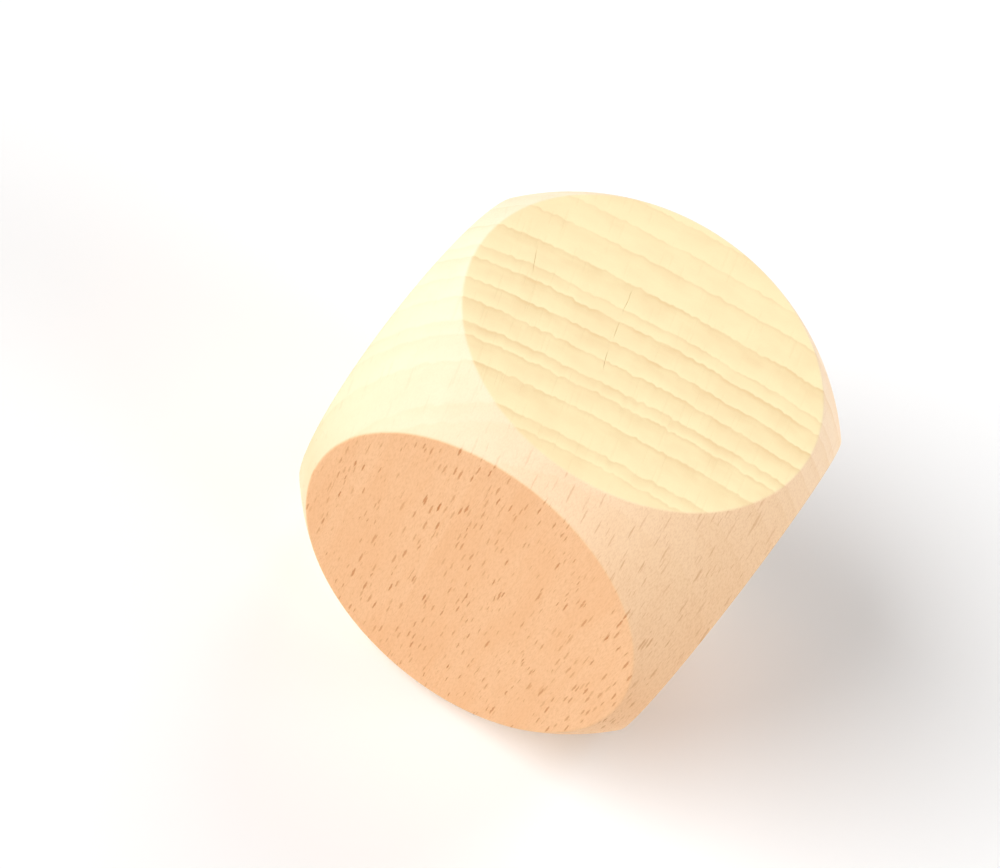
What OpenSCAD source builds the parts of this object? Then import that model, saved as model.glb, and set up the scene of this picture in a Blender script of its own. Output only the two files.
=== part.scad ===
// Wooden cube with ball-rounded corners, cut from one block.
// The block is what a cube and a ball about the same centre have in common: each face keeps a round flat,
// and the edges and corners between the flats are parts of the ball. A small round runs along every rim.
// The cube stands on one flat with its centre line on +Z, and the wood's grain runs along +Z.

/* [Block] */
// Distance between two opposite flats
cube_side = 60; // [57:0.5:78]
// Diameter of the ball that rounds the edges and corners
ball_d = 80.4; // [64:0.2:84]

/* [Finish] */
// Radius of the sanded round along the rim of each flat
rim_r = 0.5; // [0.1:0.1:2]
// Colour of the bare wood
wood_colour = "burlywood"; // [burlywood, wheat, tan, peru]

/* [Hidden] */

$fn = 128;

half_side = cube_side / 2;
ball_r = ball_d / 2;

// A round of this centre would just touch the flat from below and the ball from inside
touch_h = half_side - rim_r;
touch_centre = [sqrt(pow(ball_r - rim_r, 2) - pow(touch_h, 2)), touch_h];
// Directions out of the flat and out of the ball, seen from that centre, and the one midway between them
flat_out = [0, 1];
ball_out = touch_centre / norm(touch_centre);
rim_out = (flat_out + ball_out) / norm(flat_out + ball_out);
// Sanding leaves a faint line on both sides of the rim: the round stands out a little and crosses flat and ball
rim_proud = 0.006 * rim_r;
rim_centre = touch_centre + rim_out * rim_proud;
// Length of the sides of the wedge that holds a sharp rim
wedge_l = 3 * rim_r;
// How far a cutting shape runs past what it cuts
spare = 1;

// Section of the ball cut off square at both flats, on the +X side of its axis
module cut_ball_section() {
    intersection() {
        circle(r = ball_r);
        translate([0, -half_side]) square([ball_r + spare, cube_side]);
    }
}

// Section of the waste that sanding takes off a sharp rim: a wedge less the round
module rim_waste_section() {
    difference() {
        polygon([rim_centre, rim_centre + flat_out * wedge_l, rim_centre + ball_out * wedge_l]);
        translate(rim_centre) circle(r = rim_r);
    }
}

// Two opposite flats with the ball between them and a round on each rim
module pair_of_flats() {
    rotate_extrude()
    difference() {
        cut_ball_section();
        rim_waste_section();
        mirror([0, 1]) rim_waste_section();
    }
}

module rounded_cube() {
    color(wood_colour)
    translate([0, 0, half_side])
    intersection() {
        pair_of_flats();
        rotate([90, 0, 0]) pair_of_flats();
        rotate([0, 90, 0]) pair_of_flats();
    }
}

rounded_cube();
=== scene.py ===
"""Dresses the wooden cube: a block of bare beech, rounded to a ball at its edges and corners."""

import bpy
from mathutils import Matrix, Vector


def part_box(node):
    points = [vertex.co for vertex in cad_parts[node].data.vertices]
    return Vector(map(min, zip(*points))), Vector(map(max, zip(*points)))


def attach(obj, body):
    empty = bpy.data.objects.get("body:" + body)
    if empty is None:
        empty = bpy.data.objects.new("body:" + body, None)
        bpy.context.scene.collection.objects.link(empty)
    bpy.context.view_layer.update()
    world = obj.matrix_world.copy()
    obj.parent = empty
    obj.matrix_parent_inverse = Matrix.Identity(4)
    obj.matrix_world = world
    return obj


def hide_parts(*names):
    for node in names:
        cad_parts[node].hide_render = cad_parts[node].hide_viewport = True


bl_info = {
    "name": "Wooden Cube",
    "version": (1, 0, 0),
    "blender": (4, 5, 0),
    "location": "View3D > Sidebar > Wooden Cube",
    "description": "Makes a ball-rounded cube of bare beech and the plain stage it is shown on",
    "category": "Object",
}

import math
from types import SimpleNamespace

import bmesh
import bpy
from bpy.props import FloatProperty, FloatVectorProperty, IntProperty, PointerProperty
from mathutils import Matrix, Vector

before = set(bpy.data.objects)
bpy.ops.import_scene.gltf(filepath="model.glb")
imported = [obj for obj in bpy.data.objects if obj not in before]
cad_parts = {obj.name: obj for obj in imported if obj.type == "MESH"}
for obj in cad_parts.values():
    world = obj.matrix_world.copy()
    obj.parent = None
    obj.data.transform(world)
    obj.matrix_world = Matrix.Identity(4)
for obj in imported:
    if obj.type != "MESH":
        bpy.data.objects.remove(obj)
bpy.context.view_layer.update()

NODE = "rounded_cube"
BODY = "root"
MM = 0.001

# The block's own measures, taken from the frame
BLOCK_LOW, BLOCK_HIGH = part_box(NODE)
BLOCK_CENTRE = (BLOCK_LOW + BLOCK_HIGH) / 2
BLOCK_SIDE = BLOCK_HIGH.z - BLOCK_LOW.z
BALL_DIAMETER = 2 * max((v.co - BLOCK_CENTRE).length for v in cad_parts[NODE].data.vertices)

# Quarter turns that bring the top flat to each of the six sides
SIDE_TURNS = (("X", 0), ("X", 90), ("X", 180), ("X", 270), ("Y", 90), ("Y", 270))
# Loops inside a rim: two narrow ones, in reaches of its round, and a wide one, in radii of the flat
NARROW_LOOP = 2
WIDE_LOOP = 1 / 8
# A point counts as flat within this share of the rim's angle
FLAT_SHARE = 0.97
# Points of neighbouring sides that lie this near become one
MERGE_WITHIN = 0.005 * MM

# Drying checks in the top flat: points in mm from its middle, along X and Y
CHECKS = (
    ((-6.7, 7.5), (-6.45, 6.0), (-6.0, 4.5), (-5.75, 3.0), (-5.4, 1.4)),
    ((-5.1, 0.8), (-4.9, -0.2), (-4.6, -1.2), (-4.35, -2.3), (-4.0, -3.4)),
    ((-3.7, -4.9), (-3.45, -5.9), (-3.1, -6.9), (-2.75, -7.9), (-2.3, -8.9)),
    ((-20.7, 2.9), (-20.15, 1.5), (-19.5, 0.1), (-18.85, -1.4), (-18.1, -2.8)),
)

# Growth rings from the pith outwards: width in mm, and how dark the late wood at its outer edge is
INNER_RINGS = (
    (5, 0.5), (4, 0.5), (2.1, 0.6), (5.3, 0.75), (3.8, 0.75), (2.1, 0.75), (3.8, 0.75), (3.7, 0.85),
)
OUTER_RINGS = ((4, 0.85), (2.5, 0.6), (5.1, 0.8), (5.9, 0.5), (5, 0.4), (5.4, 0.5), (6, 0.5))
# Where the two lists meet, in mm outwards from the middle of the block
RINGS_MEET = -2.4
# Late wood starts and is darkest this many mm inside its ring's edge; it starts with a share of its darkness
LATE_STARTS = 0.9
LATE_DARKEST = 0.25
LATE_START_SHARE = 0.6
# Noise that scallops, bends and fades the rings: waves per mm round the pith, outwards and along the grain
SCALLOP_WAVES = (0.85, 0.12, 0.03)
BEND_WAVES = (0.09, 0.05, 0.01)
FADE_WAVES = (0.22, 0.5, 0.02)
# How far scallops and bends move a ring, in mm
SCALLOP_REACH = 1.0
BEND_REACH = 1.2
# Low and high values of the fading noise, and the strength of a ring at each
FADE_RANGE = (0.3, 0.7)
RING_STRENGTHS = (0.7, 1.3)
# Noise swings about this value
NOISE_MIDDLE = 0.5

# Rays: the cell that holds one and its half size, in mm round the pith, outwards and along the grain;
# the share of cells that have one; how dark it is in a flat-sawn side and in a quarter-sawn side
RAY_SIZES = (
    ((0.95, 6.5, 3.2), (0.18, 2.6, 1.2), 0.85, 0.8, 0.2),
    ((2.4, 8.0, 6.0), (0.21, 3.2, 1.45), 0.6, 0.95, 0.18),
    ((0.5, 5.0, 1.6), (0.07, 2.0, 0.5), 0.5, 0.35, 0.5),
    ((3.4, 9.0, 9.0), (0.11, 3.0, 2.2), 0.4, 0.6, 0.15),
)
# What chance adds to a ray's size and to its darkness, and the least of each
RAY_SIZE_CHANCE = (0.6, 0.6)
RAY_DARKNESS_CHANCE = (0.6, 0.4)
# A ray is fully dark up to this share of its size
RAY_CORE = 0.5
# Noise that makes rays wobble: waves per mm as for the rings, and its reach in mm
WOBBLE_WAVES = (2.0, 0.2, 1.5)
WOBBLE_REACH = 0.3

# Streaks, nap and mottle: size in mm round the pith, outwards and along the grain, and the noise that shows
STREAK_SIZE = (0.35, 1.2, 14.0)
STREAK_RANGE = (0.45, 0.8)
NAP_SIZE = (0.2, 0.3, 0.8)
NAP_RANGE = (0.35, 0.75)
MOTTLE_SIZE = (5.0, 5.0, 18.0)
MOTTLE_RANGE = (0.35, 0.7)

# Painted light on the ball: a painted highlight makes it pale, and painted shade makes it warmer and darker
# at the front right; where the painted shade starts and where it is full, along Y
PAINTED_SHADE_STARTS = 14 * MM
PAINTED_SHADE_FULL = -16 * MM
# Share of end grain on the ball, under the painted highlight and under the painted shade, where it is less
# and so darker: what facing up or down adds, and the least
PAINTED_HIGHLIGHT_END_GRAIN = (0.62, 0.25)
PAINTED_SHADE_END_GRAIN = (0.53, 0.06)
# How strongly rings show on the ball, at the back and at the front
BALL_RINGS = (0.5, 0.3)
# How strongly flecks and nap show on the ball, at the back, at the front left and at the front right; the
# flecks and nap are real, but they are faded at the front left as a painted highlight and made stronger and
# darker at the front right as painted shade
BALL_FLECKS_AND_PAINTED_LIGHT = (1.0, 0.45, 1.8)
BALL_NAP_AND_PAINTED_LIGHT = (0.08, 0.03, 0.2)
# Mottle shows evenly over the ball
BALL_MOTTLE = 0.08
# How strongly nap and mottle show on the flats, in side grain and in end grain
FLAT_NAP = (0.2, 0.03)
FLAT_MOTTLE = (0.35, 0.1)
# How strongly rays show in end grain, and rings and streaks in side grain
END_RAYS = 0.12
SIDE_RINGS = 0.5
SIDE_STREAKS = 0.25
# How fast flecks fade as side grain gives way to end grain
FLECK_FADE = 1.3

# Relief of the sanded wood: its height, how strongly it shows, and each pattern's share of it
RELIEF_HEIGHT = 0.1 * MM
RELIEF_STRENGTH = 0.35
RAY_RELIEF = -0.6
STREAK_RELIEF = 0.35
RING_RELIEF = 0.8
# Nap stands out less on the flats than on the ball
NAP_RELIEF = (0.2, 0.5)
# Difference in roughness between the smoothest and the roughest streak
STREAK_ROUGHNESS = 0.16

FLOOR_ROUGHNESS = 0.9
SENSOR_WIDTH_MM = 36
# What is nearer to the camera than this, in metres, doesn't show
CAMERA_NEAR = 0.01


# Settings that a user would change


class BlockSettings(bpy.types.PropertyGroup):
    """Sizes of the block and how finely it is meshed"""

    side: FloatProperty(
        name="Side",
        description="Distance between two opposite flats",
        default=BLOCK_SIDE,
        unit="LENGTH",
    )
    ball_diameter: FloatProperty(
        name="Ball",
        description="Diameter of the ball at the edges and corners",
        default=BALL_DIAMETER,
        unit="LENGTH",
    )
    rim_radius: FloatProperty(
        name="Rim",
        description="Radius of the sanded round along each rim",
        default=0.5 * MM,
        unit="LENGTH",
    )
    rim_steps: IntProperty(
        name="Rim steps",
        description="Faces across the round of a rim",
        default=4,
        min=1,
    )
    spokes: IntProperty(
        name="Spokes",
        description="Edges round each flat, a multiple of eight",
        default=192,
        min=16,
        step=8,
    )
    ball_rows: IntProperty(
        name="Ball rows",
        description="Faces from a rim to the next side's share",
        default=12,
        min=2,
    )
    check_width: FloatProperty(
        name="Check width",
        description="Width of a drying check at its middle",
        default=0.14 * MM,
        unit="LENGTH",
    )
    check_depth: FloatProperty(
        name="Check depth",
        description="Depth of a drying check at its middle",
        default=0.12 * MM,
        unit="LENGTH",
    )


class WoodSettings(bpy.types.PropertyGroup):
    """Colours, growth and finish of the beech"""

    end_colour: FloatVectorProperty(
        name="End grain",
        description="Colour of the sanded end grain",
        default=(0.93, 0.795, 0.482),
        subtype="COLOR",
    )
    end_late_colour: FloatVectorProperty(
        name="End late wood",
        description="Colour of late wood in end grain",
        default=(0.81, 0.605, 0.325),
        subtype="COLOR",
    )
    # Painted highlight: the ball's end grain painted paler than the flats' end grain
    rounded_painted_highlight_colour: FloatVectorProperty(
        name="Rounded pale",
        description="End grain of the ball where it is pale",
        default=(0.97, 0.86, 0.68),
        subtype="COLOR",
    )
    # Painted shade: the ball's end grain painted warmer and darker at the front right
    rounded_painted_shade_colour: FloatVectorProperty(
        name="Rounded warm",
        description="End grain of the ball where it is warm",
        default=(1.0, 0.80, 0.55),
        subtype="COLOR",
    )
    side_colour: FloatVectorProperty(
        name="Side grain",
        description="Colour of the side grain",
        default=(0.865, 0.52, 0.286),
        subtype="COLOR",
    )
    side_late_colour: FloatVectorProperty(
        name="Side late wood",
        description="Colour of late wood in side grain",
        default=(0.80, 0.43, 0.21),
        subtype="COLOR",
    )
    fleck_colour: FloatVectorProperty(
        name="Ray flecks",
        description="Colour of the rays in side grain",
        default=(0.50, 0.19, 0.06),
        subtype="COLOR",
    )
    pith: FloatVectorProperty(
        name="Pith",
        description="Where the tree's middle lies, along X and Y",
        default=(54 * MM, -229 * MM),
        size=2,
        unit="LENGTH",
    )
    roughness: FloatProperty(
        name="Roughness",
        description="Roughness of the sanded wood",
        default=0.75,
        min=0.0,
        max=1.0,
        subtype="FACTOR",
    )
    gloss: FloatProperty(
        name="Gloss",
        description="Strength of the wood's dull shine",
        default=0.2,
        min=0.0,
        max=1.0,
        subtype="FACTOR",
    )


class StageSettings(bpy.types.PropertyGroup):
    """Floor, light and camera"""

    floor_size: FloatProperty(
        name="Floor",
        description="Side of the floor",
        default=8.0,
        unit="LENGTH",
    )
    floor_colour: FloatVectorProperty(
        name="Floor colour",
        description="Colour the floor lends the block",
        default=(0.85, 0.85, 0.85),
        subtype="COLOR",
    )
    floor_shown: FloatVectorProperty(
        name="Floor shown",
        description="Colour of the floor in view",
        default=(0.95, 0.95, 0.95),
        subtype="COLOR",
    )
    sky_strength: FloatProperty(
        name="Sky",
        description="Strength of the even light all round",
        default=0.21,
    )
    key_strength: FloatProperty(
        name="Key lamp",
        description="Strength of the soft lamp on the left",
        default=3.4,
    )
    key_from: FloatVectorProperty(
        name="Key from",
        description="Direction of the lamp on the left",
        default=(-0.69, -0.49, 0.53),
        subtype="DIRECTION",
    )
    fill_strength: FloatProperty(
        name="Fill lamp",
        description="Strength of the soft lamp on the right",
        default=2.2,
    )
    fill_from: FloatVectorProperty(
        name="Fill from",
        description="Direction of the lamp on the right",
        default=(0.96, 0.12, 0.2),
        subtype="DIRECTION",
    )
    back_strength: FloatProperty(
        name="Back lamp",
        description="Strength of the weak lamp behind",
        default=1.0,
    )
    back_from: FloatVectorProperty(
        name="Back from",
        description="Direction of the lamp behind",
        default=(0.0, 0.8, 0.6),
        subtype="DIRECTION",
    )
    lamp_spread: FloatProperty(
        name="Lamp spread",
        description="Angle that each soft lamp fills",
        default=math.radians(50),
        subtype="ANGLE",
    )
    camera_place: FloatVectorProperty(
        name="Camera",
        description="Place of the camera",
        default=(0.0133, -0.1706, 0.2330),
        subtype="TRANSLATION",
    )
    camera_azimuth: FloatProperty(
        name="Azimuth",
        description="Turn of the view from +Y to -X",
        default=math.radians(8.15),
        subtype="ANGLE",
    )
    camera_drop: FloatProperty(
        name="Drop",
        description="Angle of the view below the horizon",
        default=math.radians(50.3),
        subtype="ANGLE",
    )
    camera_roll: FloatProperty(
        name="Roll",
        description="Tilt of the camera about its view",
        default=math.radians(31.07),
        subtype="ANGLE",
    )
    lens: FloatProperty(
        name="Lens",
        description="Focal length in mm on a 36 mm sensor",
        default=63.74,
    )


# Mesh of the block


def new_verts(geom):
    """The vertices among what an operator returned."""
    return [g for g in geom if isinstance(g, bmesh.types.BMVert)]


def new_edges(geom):
    """The edges among what an operator returned."""
    return [g for g in geom if isinstance(g, bmesh.types.BMEdge)]


def on_ball(place, share, half, ball_r):
    """The point on the ball straight out from a rim point, at a share of the way to the next side's part."""
    azimuth = math.atan2(place.y, place.x)
    rim_angle = math.acos(half / ball_r)
    border_angle = math.atan(1 / max(abs(math.cos(azimuth)), abs(math.sin(azimuth))))
    angle = rim_angle + (border_angle - rim_angle) * share
    out = math.sin(angle)
    return ball_r * Vector((out * math.cos(azimuth), out * math.sin(azimuth), math.cos(angle)))


def draw_out_ball(bm, rim, rows, half, ball_r):
    """Extrudes the rim row by row over the ball, to the borders with the four neighbours."""
    loop = rim
    for row in range(1, rows + 1):
        drawn = bmesh.ops.extrude_edge_only(bm, edges=loop)["geom"]
        for vert in new_verts(drawn):
            vert.co = on_ball(vert.co, row / rows, half, ball_r)
        loop = new_edges(drawn)


def draw_in_flat(bm, rim, flat_r, insets):
    """Extrudes the rim inwards over the flat and returns the innermost loop."""
    loop = rim
    reached = flat_r
    for inset in insets:
        drawn = bmesh.ops.extrude_edge_only(bm, edges=loop)["geom"]
        shrink = (reached - inset) / reached
        bmesh.ops.scale(bm, vec=(shrink, shrink, 1), verts=new_verts(drawn))
        reached -= inset
        loop = new_edges(drawn)
    return loop


def check_outline(points, width):
    """Points round a check, a thin lens from tip to tip and back, and the points under them on its floor."""
    line = [Vector(p) * MM for p in points]
    last = len(line) - 1
    left, right, middle = [], [], []
    for i in range(1, last):
        along = (line[i + 1] - line[i - 1]).normalized()
        side = Vector((-along.y, along.x)) * width / 2 * math.sin(math.pi * i / last)
        left.append(line[i] + side)
        right.append(line[i] - side)
        middle.append(line[i])
    outline = [line[0], *left, line[last], *reversed(right)]
    floor = [line[0], *middle, line[last], *reversed(middle)]
    return outline, floor


def cut_checks(bm, block, half):
    """Makes the walls of the drying checks in the top flat and returns the edges round their mouths."""
    mouths = []
    for points in CHECKS:
        outline, floor = check_outline(points, block.check_width)
        tips = (0, len(points) - 1)
        ring = [bm.verts.new((p.x, p.y, half)) for p in outline]
        mouth = [bm.edges.new((ring[i - 1], ring[i])) for i in range(len(ring))]
        walls = bmesh.ops.extrude_edge_only(bm, edges=mouth)["geom"]
        for vert in new_verts(walls):
            at = min(range(len(ring)), key=lambda i: (ring[i].co - vert.co).length)
            depth = 0 if at in tips else block.check_depth
            vert.co = (floor[at].x, floor[at].y, half - depth)
        for edge in mouth:
            edge.smooth = False
        mouths += mouth
    return mouths


def make_side(bm, block, with_checks):
    """Makes the top flat and the part of the ball round it: a sixth of the block, about its centre."""
    half = block.side / 2
    ball_r = block.ball_diameter / 2
    flat_r = math.sqrt(ball_r**2 - half**2)
    # The round meets flat and ball this far from the sharp rim
    rim_reach = block.rim_radius * math.tan(math.acos(half / ball_r) / 2)
    bmesh.ops.create_circle(
        bm, cap_ends=False, radius=flat_r, segments=block.spokes, matrix=Matrix.Translation((0, 0, half))
    )
    rim = list(bm.edges)
    draw_out_ball(bm, rim, block.ball_rows, half, ball_r)
    insets = (NARROW_LOOP * rim_reach, NARROW_LOOP * rim_reach, WIDE_LOOP * flat_r)
    inner = draw_in_flat(bm, rim, flat_r, insets)
    mouths = cut_checks(bm, block, half) if with_checks else []
    bmesh.ops.triangle_fill(bm, use_beauty=True, edges=inner + mouths, normal=(0, 0, 1))
    bmesh.ops.bevel(
        bm,
        geom=rim,
        offset=rim_reach,
        offset_type="OFFSET",
        segments=block.rim_steps,
        profile=0.5,
        affect="EDGES",
        clamp_overlap=True,
        material=-1,
    )


def turn_side(bm, axis, degrees):
    """Turns the whole of a bmesh about the block's centre."""
    turn = Matrix.Rotation(math.radians(degrees), 3, axis)
    bmesh.ops.rotate(bm, cent=(0, 0, 0), matrix=turn, verts=bm.verts)


def note_facing(bm, rim_angle):
    """Notes at each point how far it faces along each axis and how far it has turned from flat to ball.

    A check's walls lie well inside the rim of their flat and count as flat.
    """
    facing = bm.verts.layers.float_vector.new("facing")
    on_ball_share = bm.verts.layers.float.new("on_ball")
    for vert in bm.verts:
        outward = [abs(part) for part in vert.co.normalized()]
        turned = [abs(part) for part in vert.normal]
        if math.acos(max(outward)) < FLAT_SHARE * rim_angle:
            turned = [float(part == max(outward)) for part in outward]
        vert[facing] = turned
        vert[on_ball_share] = min(1.0, math.acos(min(1.0, max(turned))) / rim_angle)


def make_block_mesh(block):
    """Joins six turned sides into one closed skin and notes on it how each point faces."""
    mesh = bpy.data.meshes.new("beech_cube")
    bm = bmesh.new()
    for number, (axis, degrees) in enumerate(SIDE_TURNS):
        side = bmesh.new()
        make_side(side, block, with_checks=number == 0)
        turn_side(side, axis, degrees)
        side.to_mesh(mesh)
        side.free()
        bm.from_mesh(mesh)
    bmesh.ops.remove_doubles(bm, verts=bm.verts, dist=MERGE_WITHIN)
    bmesh.ops.recalc_face_normals(bm, faces=bm.faces)
    note_facing(bm, math.acos(block.side / block.ball_diameter))
    for face in bm.faces:
        face.smooth = True
    bmesh.ops.translate(bm, vec=BLOCK_CENTRE, verts=bm.verts)
    bm.to_mesh(mesh)
    bm.free()
    return mesh


# Nodes


def add_node(tree, kind, inputs=None, **settings):
    """Adds a node with its settings; each named or numbered input gets a value, or a link from a socket."""
    made = tree.nodes.new(kind)
    for name, value in settings.items():
        setattr(made, name, value)
    for name, value in (inputs or {}).items():
        if isinstance(value, bpy.types.NodeSocket):
            tree.links.new(value, made.inputs[name])
        else:
            made.inputs[name].default_value = value
    return made


def maths(tree, operation, *values, clamp=False):
    """The result of a Math node."""
    made = add_node(tree, "ShaderNodeMath", dict(enumerate(values)), operation=operation, use_clamp=clamp)
    return made.outputs[0]


def vectors(tree, operation, *values):
    """The vector that a Vector Math node gives."""
    made = add_node(tree, "ShaderNodeVectorMath", dict(enumerate(values)), operation=operation)
    return made.outputs["Vector"]


def between(tree, value, low, high, to_low=0.0, to_high=1.0):
    """A value taken smoothly from one range to another."""
    return add_node(
        tree,
        "ShaderNodeMapRange",
        {"Value": value, "From Min": low, "From Max": high, "To Min": to_low, "To Max": to_high},
        interpolation_type="SMOOTHSTEP",
    ).outputs["Result"]


def mix_colours(tree, factor, first, second):
    """Two colours mixed; a colour is a socket, or three numbers."""
    mixed = add_node(tree, "ShaderNodeMix", {"Factor": factor}, data_type="RGBA")
    for name, colour in (("A", first), ("B", second)):
        socket = next(s for s in mixed.inputs if s.name == name and s.type == "RGBA")
        if isinstance(colour, bpy.types.NodeSocket):
            tree.links.new(colour, socket)
        else:
            socket.default_value = (*colour, 1.0)
    return next(s for s in mixed.outputs if s.type == "RGBA")


def mix_values(tree, factor, first, second):
    """Two values mixed."""
    return add_node(tree, "ShaderNodeMix", {0: factor, 2: first, 3: second}, data_type="FLOAT").outputs[0]


def noise(tree, place, detail=2.0):
    """A noise value of about 0.5 in the middle, over a place stretched beforehand."""
    inputs = {"Vector": place, "Scale": 1.0, "Detail": detail}
    return add_node(tree, "ShaderNodeTexNoise", inputs).outputs["Fac"]


def new_group(name, inputs, outputs):
    """A shader node group with named sockets, and its input node's and output node's sockets."""
    group = bpy.data.node_groups.new(name, "ShaderNodeTree")
    for socket, kind in inputs:
        group.interface.new_socket(socket, in_out="INPUT", socket_type=kind)
    for socket, kind in outputs:
        group.interface.new_socket(socket, in_out="OUTPUT", socket_type=kind)
    return group, group.nodes.new("NodeGroupInput").outputs, group.nodes.new("NodeGroupOutput").inputs


def place_group(tree, group, inputs):
    """Places a group in a material with its own values and returns its outputs."""
    return add_node(tree, "ShaderNodeGroup", inputs, node_tree=group).outputs


# Grain of the beech


def wood_place_group():
    """Turns a place into mm round the pith, outwards from the block's middle and along the grain."""
    group, given, put = new_group(
        "Wood place",
        [("Place", "NodeSocketVector"), ("Pith", "NodeSocketVector"), ("Middle radius", "NodeSocketFloat")],
        [("Wood place", "NodeSocketVector")],
    )
    from_pith = vectors(group, "SUBTRACT", given["Place"], given["Pith"])
    parts = add_node(group, "ShaderNodeSeparateXYZ", {0: from_pith}).outputs
    y_squared = maths(group, "POWER", parts["Y"], 2.0)
    radius = maths(group, "SQRT", maths(group, "MULTIPLY_ADD", parts["X"], parts["X"], y_squared))
    angle = maths(group, "ARCTAN2", parts["X"], parts["Y"])
    round_pith = maths(group, "MULTIPLY", angle, given["Middle radius"])
    outwards = maths(group, "SUBTRACT", radius, given["Middle radius"])
    joined = add_node(group, "ShaderNodeCombineXYZ", {"X": round_pith, "Y": outwards, "Z": parts["Z"]})
    in_mm = vectors(group, "DIVIDE", joined.outputs["Vector"], (MM, MM, MM))
    group.links.new(in_mm, put["Wood place"])
    return group


def ring_ramp(group, outwards, start, rings):
    """Late wood of a run of rings: each starts pale, darkens outwards and ends in a thin dark line."""
    span = sum(width for width, _ in rings)
    inputs = {"Value": outwards, "From Min": start, "From Max": start + span}
    share = add_node(group, "ShaderNodeMapRange", inputs).outputs["Result"]
    ramp = add_node(group, "ShaderNodeValToRGB", {"Fac": share})
    stops = ramp.color_ramp.elements
    for stop, position in zip(stops, (0.0, 1.0)):
        stop.position = position
        stop.color = (0, 0, 0, 1)
    reached = 0.0
    for width, darkness in rings:
        late_start = (width - LATE_STARTS, LATE_START_SHARE * darkness)
        late_line = (width - LATE_DARKEST, darkness)
        for at, value in (late_start, late_line, (width, 0.0)):
            position = (reached + at) / span
            if position < 1.0:
                stops.new(position).color = (value, value, value, 1)
        reached += width
    return ramp.outputs["Color"]


def growth_rings_group():
    """Late wood over the block, with each ring wavy and scalloped where the rays cross it."""
    group, given, put = new_group(
        "Growth rings",
        [("Wood place", "NodeSocketVector"), ("Scallop", "NodeSocketFloat"), ("Bend", "NodeSocketFloat")],
        [("Late wood", "NodeSocketFloat")],
    )
    bent = add_node(group, "ShaderNodeSeparateXYZ", {0: given["Wood place"]}).outputs["Y"]
    for waves, reach in ((SCALLOP_WAVES, given["Scallop"]), (BEND_WAVES, given["Bend"])):
        wave_place = vectors(group, "MULTIPLY", given["Wood place"], waves)
        wave = maths(group, "SUBTRACT", noise(group, wave_place, detail=1.0), NOISE_MIDDLE)
        bent = maths(group, "MULTIPLY_ADD", wave, reach, bent)
    inner_start = RINGS_MEET - sum(width for width, _ in INNER_RINGS)
    inner = ring_ramp(group, bent, inner_start, INNER_RINGS)
    outer = ring_ramp(group, bent, RINGS_MEET, OUTER_RINGS)
    fade_place = vectors(group, "MULTIPLY", given["Wood place"], FADE_WAVES)
    fade = between(group, noise(group, fade_place), *FADE_RANGE, *RING_STRENGTHS)
    late = maths(group, "MULTIPLY", maths(group, "ADD", inner, outer), fade)
    group.links.new(late, put["Late wood"])
    return group


def ray_flecks_group():
    """Rays of the wood: thin plates that lie along the grain and outwards, in a share of the cells."""
    group, given, put = new_group(
        "Ray flecks",
        [
            ("Wood place", "NodeSocketVector"),
            ("Cell", "NodeSocketVector"),
            ("Half size", "NodeSocketVector"),
            ("Kept share", "NodeSocketFloat"),
        ],
        [("Fleck", "NodeSocketFloat")],
    )
    wobble_place = vectors(group, "MULTIPLY", given["Wood place"], WOBBLE_WAVES)
    wobble = maths(group, "SUBTRACT", noise(group, wobble_place), NOISE_MIDDLE)
    wobble = maths(group, "MULTIPLY", wobble, WOBBLE_REACH)
    shift = add_node(group, "ShaderNodeCombineXYZ", {"X": wobble}).outputs["Vector"]
    cells = vectors(group, "DIVIDE", vectors(group, "ADD", given["Wood place"], shift), given["Cell"])
    rays = add_node(group, "ShaderNodeTexVoronoi", {"Vector": cells, "Scale": 1.0}).outputs
    chance = add_node(group, "ShaderNodeSeparateColor", {0: rays["Color"]}).outputs
    kept = maths(group, "LESS_THAN", chance["Red"], given["Kept share"])
    off_middle = vectors(group, "SUBTRACT", cells, rays["Position"])
    off_middle = vectors(group, "MULTIPLY", off_middle, given["Cell"])
    off_middle = vectors(group, "DIVIDE", off_middle, given["Half size"])
    reach = add_node(group, "ShaderNodeVectorMath", {0: off_middle}, operation="LENGTH").outputs["Value"]
    size = maths(group, "MULTIPLY_ADD", chance["Green"], *RAY_SIZE_CHANCE)
    shape = between(group, maths(group, "DIVIDE", reach, size), 1.0, RAY_CORE)
    darkness = maths(group, "MULTIPLY_ADD", chance["Blue"], *RAY_DARKNESS_CHANCE)
    fleck = maths(group, "MULTIPLY", maths(group, "MULTIPLY", kept, shape), darkness)
    group.links.new(fleck, put["Fleck"])
    return group


def fibre_group():
    """Fibres of the wood, as noise of a given size along each direction."""
    group, given, put = new_group(
        "Fibre",
        [("Wood place", "NodeSocketVector"), ("Size", "NodeSocketVector")],
        [("Fibre", "NodeSocketFloat")],
    )
    stretched = vectors(group, "DIVIDE", given["Wood place"], given["Size"])
    group.links.new(noise(group, stretched, detail=3.0), put["Fibre"])
    return group


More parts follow.
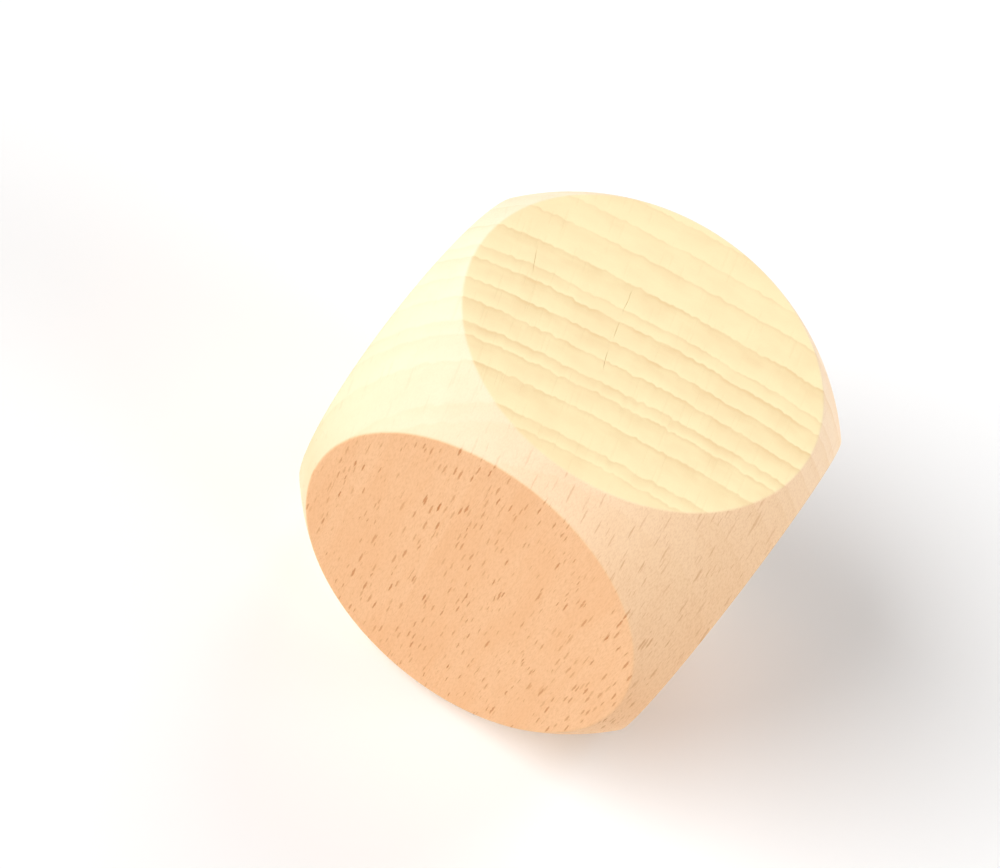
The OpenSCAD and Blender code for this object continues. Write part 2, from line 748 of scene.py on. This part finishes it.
def surface_lie(tree, place):
    """How the surface lies: whether it is ball, where on the ball it is, where painted shade falls on the
    ball, and its share of end grain.
    """
    facing = add_node(tree, "ShaderNodeAttribute", attribute_name="facing").outputs["Vector"]
    facing = add_node(tree, "ShaderNodeSeparateXYZ", {0: facing}).outputs
    ball_share = add_node(tree, "ShaderNodeAttribute", attribute_name="on_ball").outputs["Fac"]
    parts = add_node(tree, "ShaderNodeSeparateXYZ", {0: place}).outputs
    # Painted shade mask: full at the front right of the ball, none at the back and the left
    to_right = between(tree, parts["X"], BLOCK_LOW.x, BLOCK_HIGH.x)
    to_front = between(tree, parts["Y"], PAINTED_SHADE_STARTS, PAINTED_SHADE_FULL)
    painted_shade_share = maths(tree, "MULTIPLY", to_right, to_front)
    painted_highlight_end = maths(tree, "MULTIPLY_ADD", facing["Z"], *PAINTED_HIGHLIGHT_END_GRAIN)
    painted_shade_end = maths(tree, "MULTIPLY_ADD", facing["Z"], *PAINTED_SHADE_END_GRAIN)
    ball_end = mix_values(tree, painted_shade_share, painted_highlight_end, painted_shade_end)
    return SimpleNamespace(
        ball_share=ball_share,
        to_right=to_right,
        to_front=to_front,
        painted_shade_share=painted_shade_share,
        quarter_sawn=facing["X"],
        end_share=mix_values(tree, ball_share, facing["Z"], ball_end),
    )


def over_ball(tree, lie, at_back, at_front_left, at_front_right):
    """A value that changes over the ball, from the back to the front left and the front right."""
    at_front = mix_values(tree, lie.to_right, at_front_left, at_front_right)
    return mix_values(tree, lie.to_front, at_back, at_front)


def grain_patterns(tree, wood, place, lie):
    """The patterns of the grain: late wood, rays, streaks, nap and mottle."""
    pith = Vector((*wood.pith, 0.0))
    middle_radius = (Vector((BLOCK_CENTRE.x, BLOCK_CENTRE.y, 0.0)) - pith).length
    inputs = {"Place": place, "Pith": pith, "Middle radius": middle_radius}
    wood_place = place_group(tree, wood_place_group(), inputs)["Wood place"]
    inputs = {"Wood place": wood_place, "Scallop": SCALLOP_REACH, "Bend": BEND_REACH}
    late = place_group(tree, growth_rings_group(), inputs)["Late wood"]
    ball_rings = mix_values(tree, lie.to_front, *BALL_RINGS)
    late = maths(tree, "MULTIPLY", late, mix_values(tree, lie.ball_share, 1.0, ball_rings))
    rays_group = ray_flecks_group()
    rays = 0.0
    for cell, half_size, kept, flat_sawn, quarter_sawn in RAY_SIZES:
        inputs = {"Wood place": wood_place, "Cell": cell, "Half size": half_size, "Kept share": kept}
        flecks = place_group(tree, rays_group, inputs)["Fleck"]
        darkness = mix_values(tree, lie.quarter_sawn, flat_sawn, quarter_sawn)
        rays = maths(tree, "MAXIMUM", maths(tree, "MULTIPLY", flecks, darkness), rays)
    fibres = fibre_group()
    streak, nap, mottle = (
        place_group(tree, fibres, {"Wood place": wood_place, "Size": size})["Fibre"]
        for size in (STREAK_SIZE, NAP_SIZE, MOTTLE_SIZE)
    )
    return SimpleNamespace(late=late, rays=rays, streak=streak, nap=nap, mottle=mottle)


def bare_wood(tree, wood, lie, grain):
    """Colour of end grain and side grain with their rings, rays and streaks, mixed as the surface lies; the
    ball's end grain is painted pale as a painted highlight and warm and darker at the front right as painted
    shade.
    """
    # Painted highlight over the ball, giving way to painted shade at the front right
    rounded = mix_colours(tree, lie.painted_shade_share, wood.rounded_painted_highlight_colour, wood.rounded_painted_shade_colour)
    end = mix_colours(tree, lie.ball_share, wood.end_colour, rounded)
    end = mix_colours(tree, grain.late, end, wood.end_late_colour)
    end_rays = maths(tree, "MULTIPLY", grain.rays, END_RAYS)
    end = mix_colours(tree, end_rays, end, wood.end_late_colour)
    side_rings = maths(tree, "MULTIPLY", grain.late, SIDE_RINGS)
    side = mix_colours(tree, side_rings, wood.side_colour, wood.side_late_colour)
    side_streaks = maths(tree, "MULTIPLY", between(tree, grain.streak, *STREAK_RANGE), SIDE_STREAKS)
    side = mix_colours(tree, side_streaks, side, wood.side_late_colour)
    return mix_colours(tree, lie.end_share, side, end)


def flecked_wood(tree, wood, lie, grain):
    """Colour of the wood with its ray flecks, its nap and its mottle."""
    colour = bare_wood(tree, wood, lie, grain)
    fleck_share = maths(tree, "MULTIPLY_ADD", lie.end_share, -FLECK_FADE, 1.0, clamp=True)
    # Real flecks on the ball, faded at the front left as a painted highlight and darkened at the front right
    # as painted shade
    ball_flecks_and_painted_light = over_ball(tree, lie, *BALL_FLECKS_AND_PAINTED_LIGHT)
    fleck_share = maths(tree, "MULTIPLY", fleck_share, mix_values(tree, lie.ball_share, 1.0, ball_flecks_and_painted_light))
    flecks = maths(tree, "MULTIPLY", grain.rays, fleck_share)
    colour = mix_colours(tree, flecks, colour, wood.fleck_colour)

    flat_nap = mix_values(tree, lie.end_share, *FLAT_NAP)
    # Real nap on the ball, fainter at the front left as a painted highlight and darker at the front right as
    # painted shade
    nap_share = mix_values(tree, lie.ball_share, flat_nap, over_ball(tree, lie, *BALL_NAP_AND_PAINTED_LIGHT))
    nap = maths(tree, "MULTIPLY", between(tree, grain.nap, *NAP_RANGE), nap_share)
    colour = mix_colours(tree, nap, colour, wood.fleck_colour)

    flat_mottle = mix_values(tree, lie.end_share, *FLAT_MOTTLE)
    mottle_share = mix_values(tree, lie.ball_share, flat_mottle, BALL_MOTTLE)
    mottle = maths(tree, "MULTIPLY", between(tree, grain.mottle, *MOTTLE_RANGE), mottle_share)
    return mix_colours(tree, mottle, colour, wood.side_late_colour)


def sanded_normal(tree, lie, grain):
    """Normal of the sanded surface, on which rays lie low and rings, streaks and nap stand out."""
    height = maths(tree, "MULTIPLY", grain.rays, RAY_RELIEF)
    height = maths(tree, "MULTIPLY_ADD", grain.streak, STREAK_RELIEF, height)
    height = maths(tree, "MULTIPLY_ADD", grain.late, RING_RELIEF, height)
    nap_relief = mix_values(tree, lie.ball_share, *NAP_RELIEF)
    height = maths(tree, "MULTIPLY_ADD", grain.nap, nap_relief, height)
    inputs = {"Strength": RELIEF_STRENGTH, "Distance": RELIEF_HEIGHT, "Height": height}
    return add_node(tree, "ShaderNodeBump", inputs).outputs["Normal"]


def make_beech(wood):
    """Bare sanded beech, as one solid pattern through the block."""
    material = bpy.data.materials.new("beech")
    material.use_nodes = True
    tree = material.node_tree
    shader = tree.nodes["Principled BSDF"]
    place = add_node(tree, "ShaderNodeTexCoord").outputs["Object"]
    lie = surface_lie(tree, place)
    grain = grain_patterns(tree, wood, place, lie)
    tree.links.new(flecked_wood(tree, wood, lie, grain), shader.inputs["Base Color"])
    smoothest = wood.roughness - STREAK_ROUGHNESS / 2
    rough = maths(tree, "MULTIPLY_ADD", grain.streak, STREAK_ROUGHNESS, smoothest)
    tree.links.new(rough, shader.inputs["Roughness"])
    shader.inputs["Specular IOR Level"].default_value = wood.gloss
    tree.links.new(sanded_normal(tree, lie, grain), shader.inputs["Normal"])
    return material


# Stage


def seen_directly(tree):
    """1 for what the camera sees, straight or in a reflection, and 0 for what lights the block."""
    path = add_node(tree, "ShaderNodeLightPath").outputs
    reflected = maths(tree, "ADD", path["Is Glossy Ray"], path["Is Transmission Ray"])
    return maths(tree, "ADD", path["Is Camera Ray"], reflected, clamp=True)


def make_floor(stage):
    """A plain pale floor under the block."""
    mesh = bpy.data.meshes.new("floor")
    bm = bmesh.new()
    bmesh.ops.create_grid(bm, x_segments=1, y_segments=1, size=stage.floor_size / 2)
    bm.to_mesh(mesh)
    bm.free()
    material = bpy.data.materials.new("floor_paper")
    material.use_nodes = True
    tree = material.node_tree
    colour = mix_colours(tree, seen_directly(tree), stage.floor_colour, stage.floor_shown)
    shader = tree.nodes["Principled BSDF"]
    tree.links.new(colour, shader.inputs["Base Color"])
    shader.inputs["Roughness"].default_value = FLOOR_ROUGHNESS
    shader.inputs["Specular IOR Level"].default_value = 0.0
    mesh.materials.append(material)
    floor = bpy.data.objects.new("floor", mesh)
    bpy.context.scene.collection.objects.link(floor)


def make_lamp(name, strength, spread, shines_from):
    """A wide soft lamp that shines from far away."""
    data = bpy.data.lights.new(name, "SUN")
    data.energy = strength
    data.angle = spread
    lamp = bpy.data.objects.new(name, data)
    lamp.location = Vector(shines_from)
    lamp.rotation_euler = Vector(shines_from).to_track_quat("Z", "Y").to_euler()
    bpy.context.scene.collection.objects.link(lamp)


def make_light(stage):
    """An even sky, a soft lamp on each side and a weak one behind."""
    world = bpy.data.worlds.new("studio")
    world.use_nodes = True
    tree = world.node_tree
    inputs = {"Value": seen_directly(tree), "To Min": stage.sky_strength, "To Max": 1.0}
    strength = add_node(tree, "ShaderNodeMapRange", inputs).outputs["Result"]
    background = tree.nodes["Background"]
    background.inputs["Color"].default_value = (1, 1, 1, 1)
    tree.links.new(strength, background.inputs["Strength"])
    bpy.context.scene.world = world
    make_lamp("key_lamp", stage.key_strength, stage.lamp_spread, stage.key_from)
    make_lamp("fill_lamp", stage.fill_strength, stage.lamp_spread, stage.fill_from)
    make_lamp("back_lamp", stage.back_strength, stage.lamp_spread, stage.back_from)


def make_camera(stage):
    """The camera, looking down on the block from the front with its head tilted."""
    data = bpy.data.cameras.new("camera")
    data.sensor_width = SENSOR_WIDTH_MM
    data.lens = stage.lens
    data.clip_start = CAMERA_NEAR
    camera = bpy.data.objects.new("camera", data)
    turn = Matrix.Rotation(stage.camera_azimuth, 4, "Z")
    pitch = Matrix.Rotation(math.pi / 2 - stage.camera_drop, 4, "X")
    roll = Matrix.Rotation(stage.camera_roll, 4, "Z")
    camera.matrix_world = Matrix.Translation(stage.camera_place) @ turn @ pitch @ roll
    bpy.context.scene.collection.objects.link(camera)
    bpy.context.scene.camera = camera


# Operators and panel


class WOODENCUBE_OT_make_stage(bpy.types.Operator):
    """Make the floor, the light and the camera"""

    bl_idname = "woodencube.make_stage"
    bl_label = "Make Stage"

    def execute(self, context):
        stage = context.scene.wooden_cube_stage
        make_floor(stage)
        make_light(stage)
        make_camera(stage)
        context.scene.view_settings.view_transform = "Standard"
        return {"FINISHED"}


class WOODENCUBE_OT_make_block(bpy.types.Operator):
    """Make the beech block with its grain"""

    bl_idname = "woodencube.make_block"
    bl_label = "Make Block"

    def execute(self, context):
        mesh = make_block_mesh(context.scene.wooden_cube_block)
        mesh.materials.append(make_beech(context.scene.wooden_cube_wood))
        block = bpy.data.objects.new("beech_cube", mesh)
        context.scene.collection.objects.link(block)
        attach(block, BODY)
        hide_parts(NODE)
        return {"FINISHED"}


class WOODENCUBE_PT_panel(bpy.types.Panel):
    """Settings and buttons of the wooden cube"""

    bl_label = "Wooden Cube"
    bl_space_type = "VIEW_3D"
    bl_region_type = "UI"
    bl_category = "Wooden Cube"

    def draw(self, context):
        for settings, button in (
            (context.scene.wooden_cube_stage, WOODENCUBE_OT_make_stage),
            (context.scene.wooden_cube_block, None),
            (context.scene.wooden_cube_wood, WOODENCUBE_OT_make_block),
        ):
            for name in settings.__annotations__:
                self.layout.prop(settings, name)
            if button:
                self.layout.operator(button.bl_idname)


SETTINGS = (
    ("wooden_cube_block", BlockSettings),
    ("wooden_cube_wood", WoodSettings),
    ("wooden_cube_stage", StageSettings),
)
CLASSES = (
    *(group for _, group in SETTINGS),
    WOODENCUBE_OT_make_stage,
    WOODENCUBE_OT_make_block,
    WOODENCUBE_PT_panel,
)


def register():
    for made in CLASSES:
        bpy.utils.register_class(made)
    for name, group in SETTINGS:
        setattr(bpy.types.Scene, name, PointerProperty(type=group))


def unregister():
    for name, _ in SETTINGS:
        delattr(bpy.types.Scene, name)
    for made in reversed(CLASSES):
        bpy.utils.unregister_class(made)


def main():
    register()
    bpy.ops.woodencube.make_stage()
    bpy.ops.woodencube.make_block()


if __name__ == "__main__":
    main()
